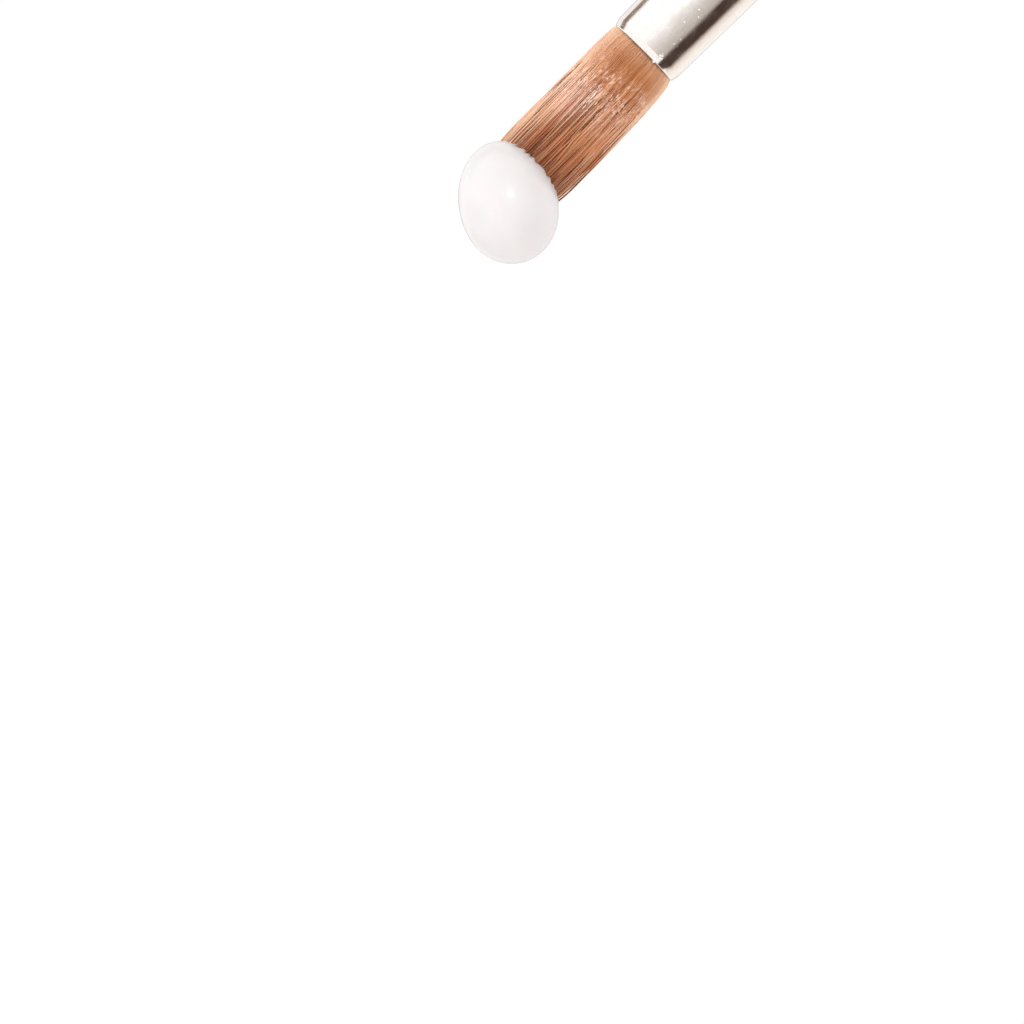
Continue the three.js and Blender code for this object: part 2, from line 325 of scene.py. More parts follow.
def dusted_and_glinting(look, coloured, along):
    """The hair's colour with fine powder on it: pale specks in a band under the ferrule, partly
    powder and partly painted glints of the wet hair, and a pinker patch on the front."""
    specks = look.noise(look.places((7, 7, 2.2), "rest_place"), 1.0, detail=2)
    clumps = look.noise(look.places((0.9, 0.9, 0.55), "rest_place"), 1.0, detail=2)
    band = look.ramp(along, (0.09, 0.0), (0.17, 1.0), (0.29, 1.0), (0.37, 0.4), (0.44, 0.0))
    dust = look.math("MULTIPLY", band, look.ramp(clumps, (0.42, 0.1), (0.58, 1.0)))
    dust = look.math("MULTIPLY", dust, look.ramp(specks, (0.52, 0.0), (0.62, 0.85)))
    # Pale specks in the band: powder, and partly painted glints of the wet hair.
    coloured = look.between(dust, coloured, (0.95, 0.70, 0.57))
    patch_band = look.ramp(along, (0.24, 0.0), (0.31, 1.0), (0.42, 1.0), (0.52, 0.0))
    patch_side = look.ramp(look.value("dusty"), (0.0, 0.0), (1.0, 0.55))
    dusty = look.math("MULTIPLY", look.math("MULTIPLY", patch_band, patch_side), specks)
    return look.between(dusty, coloured, (0.90, 0.60, 0.52))


def core_look():
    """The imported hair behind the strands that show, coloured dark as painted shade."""
    look = Look("packed_hair_painted_shade", Specular_IOR_Level=0.2)
    places = look.places((6, 6, 0.3), "rest_place")
    fibres = look.noise(places, 2.0, detail=3)
    colours = look.ramp(fibres, (0.3, (0.16, 0.05, 0.018)), (0.7, (0.34, 0.12, 0.045)))
    look.to_shader("Base Color", colours)
    look.to_shader("Roughness", look.ramp(fibres, (0.3, 0.75), (0.7, 0.5)))
    look.bump(fibres, 0.8, 0.05 * MM)
    return look.material


def acrylic_look():
    """Wet acrylic: white, smooth and slightly translucent, with the powder's grain under its
    surface."""
    look = Look("wet_acrylic", IOR=1.46, Subsurface_Weight=0.85, Subsurface_Scale=2.5 * MM)
    look.shader.inputs["Subsurface Radius"].default_value = (1.0, 0.85, 0.78)
    places = look.places()
    cloud = look.noise(places, 0.35, detail=1)
    grain = look.noise(places, 9.0, detail=2)
    white = look.ramp(cloud, (0.0, (0.88, 0.865, 0.867)), (1.0, (0.95, 0.935, 0.938)))
    look.to_shader("Base Color", white)
    look.to_shader("Roughness", look.ramp(cloud, (0.0, 0.17), (1.0, 0.31)))
    look.bump(look.math("ADD", look.math("MULTIPLY", grain, 0.12), cloud), 0.25, 0.03 * MM)
    return look.material


def wood_look():
    """Stained hardwood under gloss lacquer: long grain, short dark pores and fingered lacquer."""
    look = Look("lacquered_wood", Coat_Weight=1.0, Coat_IOR=1.5)
    grain = look.noise(look.places((1, 1, 0.05)), 1.1, detail=6, roughness=0.6, distortion=0.6)
    fine = look.noise(look.places((1, 1, 0.03)), 6.0, detail=4)
    pores = look.noise(look.places((1, 1, 0.12)), 9.0, detail=2)
    touch = look.noise(look.places((1, 1, 1)), 0.35, detail=5, roughness=0.7)
    figure = look.ramp(
        grain,
        (0.3, (0.045, 0.010, 0.005)),
        (0.5, (0.13, 0.028, 0.012)),
        (0.72, (0.23, 0.062, 0.024)),
    )
    streaked = look.between(1.0, figure, look.ramp(fine, (0.3, 0.62), (0.7, 1.3)), "MULTIPLY")
    holes = look.ramp(pores, (0.62, 0.0), (0.7, 1.0))
    look.to_shader("Base Color", look.between(holes, streaked, (0.018, 0.005, 0.003)))
    look.to_shader("Roughness", look.ramp(fine, (0.3, 0.42), (0.7, 0.3)))
    look.to_shader("Coat Roughness", 0.06)
    ridges = look.math("ADD", look.math("MULTIPLY", fine, 0.5), look.math("MULTIPLY", touch, 0.8))
    look.bump(ridges, 0.3, 0.03 * MM)
    return look.material


def enamel_look():
    """Dipped enamel, with the faint unevenness and dust of a dipped coat."""
    look = Look("tail_enamel", Coat_Weight=0.6)
    flow = look.noise(look.places((1, 1, 0.5)), 0.5, detail=3)
    dust = look.noise(look.places(), 14.0, detail=1)
    near_black = look.ramp(flow, (0.3, (0.014, 0.008, 0.007)), (0.7, (0.024, 0.014, 0.012)))
    look.to_shader("Base Color", near_black)
    look.to_shader("Roughness", look.ramp(dust, (0.35, 0.12), (0.7, 0.22)))
    look.bump(look.math("ADD", flow, look.math("MULTIPLY", dust, 0.08)), 0.3, 0.04 * MM)
    return look.material


def mottled_look(name, dark, light, scale, roughness):
    """A plain mottled material, for powder and for what the ferrule hides: glue, epoxy, thread."""
    look = Look(name)
    mottle = look.noise(look.places(), scale, detail=4)
    look.to_shader("Base Color", look.ramp(mottle, (0.3, dark), (0.7, light)))
    look.to_shader("Roughness", look.ramp(mottle, (0.3, roughness), (0.7, roughness * 0.6)))
    look.bump(mottle, 0.5, 0.05 * MM)
    return look.material


def dress(piece, material):
    piece.data.materials.clear()
    piece.data.materials.append(material)


# ---------------------------------------------------------------- ferrule

def crimp_at(z):
    """How deep the crimp rings press in at this height."""
    deepest = 0
    for middle in CRIMPS:
        share = min(1, abs(z - middle) / CRIMP_HALF_WIDTH)
        deepest = max(deepest, CRIMP_DEPTH * math.cos(share * math.pi / 2) ** 2)
    return deepest


def ferrule_outside(z):
    share = 1 - z / MOUTH
    return MOUTH_RADIUS + (REAR_RADIUS - MOUTH_RADIUS) * share - crimp_at(z)


def lip_depth(share):
    """How far the rolled lip turns in, from its start (0) to the mouth (1)."""
    return LIP_DEPTH * share * share * 1.3 / (share + 0.3)


def make_ferrule():
    turn_in = 0.85                      # the share of the lip before its rounded edge
    steepest = (lip_depth(turn_in) - lip_depth(turn_in - 0.02)) / (0.02 * LIP_LENGTH)
    slope = math.atan(steepest)
    rounding = LIP_LENGTH * (1 - turn_in) / (1 - math.sin(slope))
    turn_z = MOUTH + LIP_LENGTH * (1 - turn_in)
    middle = ferrule_outside(turn_z) - lip_depth(turn_in) - rounding * math.cos(slope)
    lip = []
    for angle in steps(-math.pi / 2, -slope, 10):
        lip.append((middle + rounding * math.cos(angle), MOUTH + rounding * (1 + math.sin(angle))))
    for share in steps(turn_in - 0.05, 0, 14):
        z = MOUTH + LIP_LENGTH * (1 - share)
        lip.append((ferrule_outside(z) - lip_depth(share), z))
    crimped = steps(CRIMPS[0] - CRIMP_HALF_WIDTH, CRIMPS[1] + CRIMP_HALF_WIDTH, 56)
    heights = steps(MOUTH + 1.2 * LIP_LENGTH, crimped[0] - MM, 12) + crimped + [-0.12 * MM]
    wall = [(ferrule_outside(z), z) for z in heights]
    rear_edge = [(REAR_RADIUS - 0.1 * MM, 0), (REAR_RADIUS - FERRULE_WALL, 0)]
    bore = [(r - FERRULE_WALL, z) for r, z in reversed(wall)]
    mouth = [
        (MOUTH_RADIUS - FERRULE_WALL, MOUTH + 0.2 * MM),
        (middle - 0.05 * MM, MOUTH + 0.03 * MM),
    ]
    piece = turned("ferrule_tube", lip + wall + rear_edge + bore + mouth, sides=192)
    dress(piece, nickel_look())
    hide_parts("ferrule")
    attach(piece, "brush")


# ---------------------------------------------------------------- hair

def hair_width(distance):
    """The tuft's half width along X at this distance, or at each of these distances."""
    d = np.asarray(distance, float)
    free = np.maximum(d, 0)
    sprung = SPRING * (1 - np.exp(-free / SPRING_LENGTH))
    swollen = HAIR_AT_MOUTH + sprung + BELLY_SWELL * (1 - np.exp(-free / SWELL_LENGTH))
    along = np.clip((d - TAPER_START) / (FREE_HAIR - TAPER_START), 0, 1)
    return np.maximum(TIP_RADIUS, swollen * (1 - along ** 2.4) ** 0.625)


def hair_thickness(distance):
    share = np.clip(np.asarray(distance, float) / FLATTENED_BY, 0, 1)
    return hair_width(distance) * (1 - FLATNESS * share * share * (3 - 2 * share))


def hair_shift(distance):
    d = np.maximum(np.asarray(distance, float), 0)
    return HAIR_SAG * (1 - np.exp(-d / SAG_LENGTH))


def tube_faces(strands, stations, sides):
    """Faces of tubes whose points are rings from root to tip, then the root's end and the tip's."""
    one = []
    for ring in range(stations - 1):
        for i in range(sides):
            j = (i + 1) % sides
            low, high = ring * sides, (ring + 1) * sides
            one.append((low + i, low + j, high + j, high + i))
    root, tip = stations * sides, stations * sides + 1
    last = (stations - 1) * sides
    for i in range(sides):
        j = (i + 1) % sides
        one.append((root, j, i))
        one.append((tip, last + i, last + j))
    faces = []
    for strand in range(strands):
        start = strand * (stations * sides + 2)
        faces += [tuple(start + corner for corner in face) for face in one]
    return faces


def tubes(name, paths, radii, tones, painted_side_lights, sides=4):
    """Closed, tapering tubes along paths, an array of strands x stations x 3. Tones and painted
    side lights are their colours' numbers, strands x stations; the painted side lights make the
    hair paler where lamps fall."""
    strands, stations, _ = paths.shape
    tangents = np.gradient(paths, axis=1)
    tangents /= np.linalg.norm(tangents, axis=2, keepdims=True)
    across = np.cross(tangents, np.array((0.3, 1.0, 0.1)))
    across /= np.linalg.norm(across, axis=2, keepdims=True)
    other = np.cross(tangents, across)
    angles = np.arange(sides) * 2 * math.pi / sides
    ring = across[:, :, None] * np.cos(angles)[:, None]
    ring = ring + other[:, :, None] * np.sin(angles)[:, None]
    walls = paths[:, :, None] + ring * radii[:, :, None, None]
    both = (0, -1)
    outward = np.array((-1, 1))[:, None]
    ends = paths[:, both] + tangents[:, both] * radii[:, both, None] * outward
    points = np.concatenate([walls.reshape(strands, -1, 3), ends], axis=1).reshape(-1, 3)
    faces = tube_faces(strands, stations, sides)
    piece = mesh_piece(name, points, faces, crease=180)
    add_values(piece, "along", np.clip((MOUTH - points[:, 2]) / FREE_HAIR, 0, 1))
    from_patch = np.hypot(points[:, 0] - PATCH_X, np.minimum(points[:, 1] - PATCH_Y, 0))
    in_front = np.clip(-points[:, 1] / MM, 0, 1)
    add_values(piece, "dusty", np.clip(1.5 - from_patch / PATCH_WIDTH, 0, 1) * in_front)
    for value, given in (("tone", tones), ("painted_side_light", painted_side_lights)):
        walls_value = np.repeat(given, sides, axis=1)
        add_values(piece, value, np.concatenate([walls_value, given[:, both]], axis=1).ravel())
    add_places(piece)
    return piece


def strand_paths(draw, count, depth_from, depth_to, stations=15):
    """Wet strands on the tuft's surface, gathered into locks that tighten towards the tip.
    depth is how far in from the surface they lie, as a share of its radius."""
    lock_angles = (np.arange(LOCKS) + draw.uniform(-0.35, 0.35, LOCKS)) * 2 * math.pi / LOCKS
    angles = draw.uniform(0, 2 * math.pi, count)
    gaps = (angles[:, None] - lock_angles[None] + math.pi) % (2 * math.pi) - math.pi
    nearest = np.abs(gaps).argmin(axis=1)
    off_lock = gaps[np.arange(count), nearest]
    depth = draw.uniform(depth_from, depth_to, count)
    shortest = TAPER_START + 2 * MM
    length = shortest + (FREE_HAIR - shortest) * draw.uniform(0, 1, count) ** 0.5
    share = np.linspace(0, 1, stations)[None] ** 1.4
    root = -0.6 * MM
    d = root + (length[:, None] - root) * share
    gather = 0.6 * np.clip((d - 3 * MM) / (10 * MM), 0, 1) ** 0.8
    drift = draw.normal(0, 0.05, count)[:, None] * np.clip(d / (15 * MM), 0, 1)
    wave_size = draw.uniform(0.2, 1.0, count)[:, None] * 0.012
    wave_rate = draw.uniform(0.35, 0.9, count)[:, None]
    wave_start = draw.uniform(0, 6.3, count)[:, None]
    wave = wave_size * np.sin(d / MM * wave_rate + wave_start)
    angle = angles[:, None] - off_lock[:, None] * gather + drift + wave
    sink = np.abs(off_lock)[:, None] * gather * 1.3
    lift = draw.normal(0, 0.008, count)[:, None] * np.clip(d / (8 * MM), 0, 1)
    radius = np.minimum(1 - depth[:, None] - sink + lift, 1.0)
    x = hair_width(d) * radius * np.cos(angle) + hair_shift(d)
    y = hair_thickness(d) * radius * np.sin(angle)
    paths = np.stack([x, y, MOUTH - d], axis=2)
    thickness = draw.uniform(0.038, 0.062, count)[:, None] * MM
    taper = 1 - 0.75 * np.clip((share - 0.55) / 0.45, 0, 1) ** 1.5
    tones, painted_side_lights = strand_colours(draw, d, angle, off_lock, nearest)
    return paths, thickness * taper, tones, painted_side_lights


def strand_colours(draw, d, angle, off_lock, nearest):
    """Each strand's tone, lighter on its lock's ridge than at the lock's sunken edge as painted
    highlight and painted shade, and the painted side light on the tuft's left side and right edge,
    where lamps fall."""
    count = len(nearest)
    ridge = 1 - np.abs(off_lock) * LOCKS / math.pi
    matted = np.clip((d - 2 * MM) / (5 * MM), 0, 1)
    lock_tone = draw.uniform(-0.11, 0.16, LOCKS)[nearest]
    painted_sheen_lock = (draw.uniform(0, 1, LOCKS) > 0.55)[nearest]
    # Ridge strands are lighter and strands at a lock's sunken edge darker: painted highlight and
    # painted shade. Some locks get a still lighter ridge as a painted sheen.
    own = 0.7 * draw.beta(2.2, 2.6, count) - 0.35 + lock_tone + 0.34 * (ridge - 0.55)
    own += np.where(painted_sheen_lock & (ridge > 0.72), 0.28, 0)
    own += np.where(draw.uniform(0, 1, count) > 0.95, 0.35, 0)
    tones = np.clip(0.52 + own[:, None] * (0.35 + 0.65 * matted), 0, 1)

    # Painted side light: paler on the tuft's left side, where the lamps from the left fall, and on
    # its right edge, where the rim lamp falls.
    toward_left = np.clip((-np.cos(angle) - 0.15) / 0.85, 0, 1)
    midway = np.sin(np.clip((d - 4 * MM) / (9 * MM), 0, 1) * math.pi)
    toward_right = np.clip((np.cos(angle) - 0.6) / 0.35, 0, 1) * (0.6 + 0.5 * midway)
    toward_right += 0.6 * np.clip((np.cos(angle) - 0.88) / 0.08, 0, 1)
    uneven = 0.75 + 0.5 * draw.uniform(0, 1, count)[:, None]
    fade = 0.92 - 0.6 * np.clip((d - 8.5 * MM) / (4 * MM), 0, 1)
    painted_side_lights = (0.9 * toward_left ** 2.4 * fade + 0.7 * toward_right) * uneven
    return tones, np.clip(painted_side_lights, 0, 1)


def wisp_paths(draw, count, stations=14):
    """Thicker wisps of a few hairs stuck together, pale where they shine and dark where they
    lie in a furrow. They start and end along the tuft and lean a little across it."""
    angles = draw.uniform(0, 2 * math.pi, count)
    start = draw.uniform(1.5, 9.5, count) * MM
    length = draw.uniform(3, 10, count) * MM
    share = np.linspace(0, 1, stations)[None]
    d = start[:, None] + length[:, None] * share
    lean = draw.normal(0, 0.05, count)[:, None] * (share - 0.5)
    bow = draw.normal(0, 0.02, count)[:, None] * np.sin(share * math.pi)
    angle = angles[:, None] + lean + bow
    dark = draw.uniform(0, 1, count) < 0.36
    radius = np.where(dark, 0.992, 0.99)[:, None] + 0.004 * np.sin(share * math.pi)
    x = hair_width(d) * radius * np.cos(angle) + hair_shift(d)
    y = hair_thickness(d) * radius * np.sin(angle)
    paths = np.stack([x, y, MOUTH - d], axis=2)
    thin, thick = draw.uniform(0.035, 0.06, count), draw.uniform(0.05, 0.1, count)
    thickness = np.where(dark, thin, thick) * MM
    swell = (0.06 + 0.94 * np.sin(share * math.pi) ** 0.7) * thickness[:, None]
    # Pale wisps are a painted highlight and dark ones painted shade.
    tones = np.where(dark, draw.uniform(0, 0.12, count), draw.uniform(0.68, 0.95, count))
    tones = np.repeat(tones[:, None], stations, axis=1)
    # Pale wisps on the left side take the painted side light too.
    toward_left = np.clip((-np.cos(angle) - 0.15) / 0.85, 0, 1)
    painted_side_lights = np.where(dark[:, None], 0, 0.7 * toward_left)
    return paths, swell, tones, painted_side_lights


def make_hair():
    draw = np.random.default_rng(SEED)
    hair = hair_look("hair")
    layers = (
        ("hair_strands_outer", 1600, 0.005, 0.035),
        ("hair_strands_middle", 1600, 0.03, 0.1),
        ("hair_strands_inner", 1000, 0.08, 0.2),
    )
    for name, count, near, far in layers:
        piece = tubes(name, *strand_paths(draw, count, near, far))
        dress(piece, hair)
        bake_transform(piece)
    wisps = tubes("hair_wisps", *wisp_paths(draw, 230), sides=6)
    dress(wisps, hair)
    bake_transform(wisps)


def make_hair_core():
    """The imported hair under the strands, furrowed along its length."""
    sides = 160
    distances = [-1.4 * MM] + steps(0, 19 * MM, 30)
    angles = np.arange(sides) * 2 * math.pi / sides
    points = []
    for d in distances:
        inset = 0.15 * MM + 0.14 * hair_width(d)
        for i, angle in enumerate(angles):
            furrow = noise.noise(Vector((i * 0.55, d / MM * 0.05, 0))) * 0.09 * MM
            width = max(0.05 * MM, hair_width(d) - inset + furrow)
            thick = max(0.05 * MM, hair_thickness(d) - inset + furrow)
            x = width * math.cos(angle) + hair_shift(d)
            points.append((x, thick * math.sin(angle), MOUTH - d))
    faces = []
    for ring in range(len(distances) - 1):
        for i in range(sides):
            j = (i + 1) % sides
            low, high = ring * sides, (ring + 1) * sides
            faces.append((low + i, high + i, high + j, low + j))
    faces.append(tuple(range(sides)))
    faces.append(tuple(reversed(range(len(points) - sides, len(points)))))
    piece = mesh_piece("hair_packed", points, faces, crease=70)
    add_places(piece)
    dress(piece, core_look())
    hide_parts("hair_root", "hair_tuft")
    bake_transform(piece)


# ---------------------------------------------------------------- bead

def make_bead():
    """The egg of wet acrylic. Its rim climbs and drops round the locks of hair."""
    lobes, lobe_height = 25, 0.6 * MM
    bpy.ops.mesh.primitive_ico_sphere_add(subdivisions=6, radius=1)
    piece = bpy.context.object
    piece.name = piece.data.name = "bead_of_acrylic"
    lean = Matrix.Rotation(-BEAD_SAG, 3, "Y") @ Matrix.Rotation(math.pi / 2, 3, "X")
    for vertex in piece.data.vertices:
        egg = vertex.co.copy()
        girth = 1 - BEAD_EGG * egg.y
        egg = egg * BEAD_HALF * Vector((girth, 1, girth))
        place = BEAD_CENTRE + lean @ egg
        swell = noise.noise(place / MM * 0.22) * 0.06 * MM
        place += (lean @ egg).normalized() * swell
        distance = MOUTH - place.z
        across = (place.x - float(hair_shift(distance))) / float(hair_width(distance))
        deep = place.y / float(hair_thickness(distance))
        outward = math.hypot(across, deep)
        near_hair = max(0, 1 - abs(outward - 0.95) / 0.22)
        if near_hair > 0 and place.z > BEAD_CENTRE.z:
            angle = math.atan2(deep, across)
            uneven = 1.1 * noise.noise(Vector((angle * 2.0, 3.7, 0)))
            lobe = abs(math.sin(angle * lobes / 2 + uneven * 4)) ** 0.6
            size = 0.35 + 1.5 * abs(noise.noise(Vector((angle * 3.1, 9.2, 0))))
            place.z += lobe_height * (lobe - 0.7) * near_hair * size
        vertex.co = place
    piece.data.shade_smooth()
    dress(piece, acrylic_look())
    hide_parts("acrylic_bead")
    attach(piece, "bead")


# ---------------------------------------------------------------- handle

def handle_radius(z):
    if z < GRIP_HEIGHT:
        to_go = 1 - z / GRIP_HEIGHT
        return GRIP_RADIUS + (SHOULDER_RADIUS - GRIP_RADIUS) * to_go ** 2
    share = min(1, (z - GRIP_HEIGHT) / (HANDLE_END - GRIP_HEIGHT))
    return GRIP_RADIUS + (TAIL_RADIUS - GRIP_RADIUS) * share * share * (3 - 2 * share)


def make_handle():
    shoulder = 0.1 * MM
    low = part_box("handle")[0].z
    tenon = [(0, low), (3.2 * MM, low)]
    for z in steps(low + 0.8 * MM, -0.05 * MM, 40):
        tenon.append((ferrule_outside(z) - FERRULE_WALL - 0.1 * MM, z))
    tenon.append((tenon[-1][0], shoulder))
    edge = [
        (SHOULDER_RADIUS - 0.28 * MM, shoulder),
        (SHOULDER_RADIUS - 0.12 * MM, shoulder + 0.04 * MM),
    ]
    body = [(handle_radius(z), z) for z in steps(shoulder + 0.25 * MM, DIP_EDGE, 70)]
    peg_end = HANDLE_END - TAIL_ROUNDING - MM
    peg = [(handle_radius(z) - 0.5 * MM, z) for z in steps(DIP_EDGE, peg_end, 8)]
    piece = turned("handle_wood", tenon + edge + body + peg + [(0, peg_end)], sides=160)
    dress(piece, wood_look())
    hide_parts("handle")
    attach(piece, "brush")


def make_tail():
    """The dipped tail. Its coat ends in a thicker, slightly uneven edge."""
    bottom = HANDLE_END - TAIL_ROUNDING - 0.9 * MM
    lining = [(handle_radius(z) - 0.4 * MM, z) for z in steps(bottom, DIP_EDGE, 8)]
    edge = [
        (handle_radius(DIP_EDGE) - 0.02 * MM, DIP_EDGE),
        (handle_radius(DIP_EDGE) + 0.05 * MM, DIP_EDGE + 0.16 * MM),
    ]
    start = HANDLE_END - TAIL_ROUNDING
    coat = []
    for z in steps(DIP_EDGE + 0.4 * MM, start, 40):
        bead = 0.06 * MM * math.exp(-(z - DIP_EDGE) / (0.8 * MM))
        coat.append((handle_radius(z) + bead, z))
    end = []
    for angle in steps(0, math.pi / 2, 16)[1:]:
        radius = TAIL_FLAT + (handle_radius(start) - TAIL_FLAT) * math.cos(angle)
        end.append((radius, start + TAIL_ROUNDING * math.sin(angle)))
    profile = [(0, bottom)] + lining + edge + coat + end + [(0, HANDLE_END)]
    piece = turned("tail_enamel_dip", profile, sides=128)
    for vertex in piece.data.vertices:
        angle = math.atan2(vertex.co.y, vertex.co.x)
        near_edge = max(0, 1 - (vertex.co.z - DIP_EDGE) / (1.5 * MM))
        waves = math.sin(2 * angle + 0.7) + 0.5 * math.sin(5 * angle)
        vertex.co.z += 0.12 * MM * near_edge * waves
    dress(piece, enamel_look())
    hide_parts("tail_dip")
    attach(piece, "brush")


# ---------------------------------------------------------------- stray powder

def grains(name, places, sizes, stretch=1.0):
    """Small uneven lumps of acrylic powder, stretched along Z."""
    bpy.ops.mesh.primitive_ico_sphere_add(subdivisions=1, radius=1)
    pattern = bpy.context.object
    corners = [v.co.copy() for v in pattern.data.vertices]
    faces = [tuple(f.vertices) for f in pattern.data.polygons]
    bpy.data.objects.remove(pattern)
    random.seed(SEED)
    points, all_faces = [], []
    for place, size in zip(places, sizes):
        start = len(points)
        x, y, z = random.uniform(0.7, 1.1), random.uniform(0.7, 1.1), random.uniform(0.8, 2.2)
        shape = Vector((x, y, z * stretch))
        points += [Vector(place) + c * shape * size for c in corners]
        all_faces += [tuple(start + i for i in f) for f in faces]
    return mesh_piece(name, points, all_faces, crease=180)


def on_tuft(distance, angle, outward):
    """Places on the tuft's surface at rest, a little in or out of it."""
    x = hair_width(distance) * outward * np.cos(angle) + hair_shift(distance)
    y = hair_thickness(distance) * outward * np.sin(angle)
    return np.stack([x, y, MOUTH - distance], axis=1)


def make_powder():
    """Grains that stick to the wet hair in a band under the ferrule, partly powder and partly
    painted glints of the wet hair, and grains of powder on the ferrule.
    """
    draw = np.random.default_rng(SEED + 1)
    powder = mottled_look("powder", (0.93, 0.63, 0.48), (0.98, 0.84, 0.74), 8, 0.4)

    # The grains on the hair are powder, and partly painted glints.
    count = 1200
    clusters = 160
    cluster_angle = draw.uniform(0, 2 * math.pi, clusters)
    # The band's middle, in millimetres from the mouth, is lowest on the front left.
    cluster_middle = 5.1 + 1.0 * np.cos(cluster_angle + 2.4) + draw.normal(0, 0.5, clusters)
    chosen = draw.integers(0, clusters, count)
    angle = cluster_angle[chosen] + draw.normal(0, 0.1, count)
    band = (cluster_middle[chosen] + draw.normal(0, 0.6, count)).clip(0.8, 9) * MM
    few = draw.uniform(0, 1, count) > 0.88
    band = np.where(few, draw.uniform(0.3, 9, count) * MM, band)
    places = on_tuft(band, angle, draw.uniform(0.972, 0.996, count))
    sizes = (0.018 + 0.045 * draw.beta(1.3, 2.6, count)) * MM
    on_hair = grains("powder_and_glints_on_hair", places, sizes, stretch=4.0)
    add_places(on_hair)
    dress(on_hair, powder)
    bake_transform(on_hair)

    count = 420
    height = MOUTH + draw.exponential(3.5, count).clip(0.1, 20) * MM
    angle = draw.uniform(0, 2 * math.pi, count)
    # The dark band stays clean, and its grains gather beside it.
    in_band = (angle > math.radians(293)) & (angle < math.radians(329))
    angle = np.where(in_band, angle - math.radians(30), angle)
    radius = np.array([ferrule_outside(z) for z in height])
    places = np.stack([radius * np.cos(angle), radius * np.sin(angle), height], axis=1)
    sizes = draw.uniform(0.012, 0.036, count) * MM
    on_ferrule = grains("powder_on_ferrule", places, sizes, stretch=0.6)
    dress(on_ferrule, powder)
    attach(on_ferrule, "brush")


def make_droplets():
    """Drops of acrylic that dried on the ferrule, most of them in one cluster at its lip."""
    # distance from the mouth, place along X, and radius, in millimetres
    drops = (
        (0.02, 1.20, 0.13),
        (0.42, 1.22, 0.11),
        (0.62, 1.40, 0.14),
        (0.80, 1.24, 0.12),
        (0.92, 1.40, 0.10),
        (0.55, 1.08, 0.08),
        (0.72, 1.55, 0.07),
        (1.08, 1.28, 0.06),
        (4.4, 0.65, 0.07),
        (5.6, 1.22, 0.08),
        (6.1, 0.80, 0.08),
        (2.4, 1.35, 0.06),
        (3.1, 1.52, 0.05),
    )
    points, faces = [], []
    bpy.ops.mesh.primitive_ico_sphere_add(subdivisions=3, radius=1)
    pattern = bpy.context.object
    corners = [v.co.copy() for v in pattern.data.vertices]
    triangles = [tuple(f.vertices) for f in pattern.data.polygons]
    bpy.data.objects.remove(pattern)
    for distance, x, size in drops:
        z = MOUTH + distance * MM
        radius = ferrule_outside(z) - lip_depth(max(0, 1 - distance * MM / LIP_LENGTH))
        place = Vector((x * MM, -math.sqrt(radius ** 2 - (x * MM) ** 2), z))
        start = len(points)
        for corner in corners:
            uneven = 1 + 0.25 * noise.noise(corner * 1.3 + place / MM)
            points.append(place + corner * size * MM * uneven)
        faces += [tuple(start + i for i in f) for f in triangles]
    drop = mesh_piece("dried_drops", points, faces, crease=180)
    dried = mottled_look("dried_acrylic", (0.93, 0.92, 0.9), (0.97, 0.96, 0.95), 3, 0.15)
    dress(drop, dried)
    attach(drop, "brush")


def dress_inner_pieces():
    """The CAD nodes that the ferrule hides keep their meshes."""
    looks = {
        "epoxy_plug": ("epoxy", (0.42, 0.2, 0.04), (0.62, 0.34, 0.09), 0.6, 0.4),
        "binding_thread": ("thread", (0.6, 0.55, 0.45), (0.85, 0.8, 0.7), 5, 0.9),
        "handle_adhesive": ("adhesive", (0.6, 0.52, 0.34), (0.78, 0.71, 0.52), 1.2, 0.6),
    }
    for node, (slot, *colours) in looks.items():
        dress(frame["nodes"][node], mottled_look(slot, *colours))


# ---------------------------------------------------------------- studio

def place_camera():
    """Side on to the brush and a little from its tip's side, with the tail towards the upper
    right. The ferrule's mouth is high in the picture, right of its middle."""
    frame_width = 92.2 * MM
    mouth_right, mouth_up = 11.8 * MM, 41.3 * MM
    from_tip_side = math.radians(2.4)
    tail_lean = math.radians(45)
    camera = bpy.data.objects.new("camera", bpy.data.cameras.new("camera"))
    bpy.context.scene.collection.objects.link(camera)
    camera.data.lens = 150
    camera.data.sensor_width = 36
    back = Vector((0, -math.cos(from_tip_side), -math.sin(from_tip_side)))
    tail_way = (Vector((0, 0, 1)) - back * back.z).normalized()
    side_way = tail_way.cross(back)
    up = tail_way * math.cos(tail_lean) - side_way * math.sin(tail_lean)
    right = tail_way * math.sin(tail_lean) + side_way * math.cos(tail_lean)
    facing = Matrix((right, up, back)).transposed()
    depth = camera.data.lens / camera.data.sensor_width * frame_width
    to_mouth = Vector((mouth_right, mouth_up, -depth))
    turn = to_mouth.rotation_difference(Vector((0, 0, -1))).to_matrix()
    place = Vector((0, 0, MOUTH)) + back * to_mouth.length
    camera.matrix_world = Matrix.Translation(place) @ (facing @ turn).to_4x4()
    camera.data.clip_start = 0.01
    camera.data.clip_end = 10
    bpy.context.scene.camera = camera
    return right, up, back


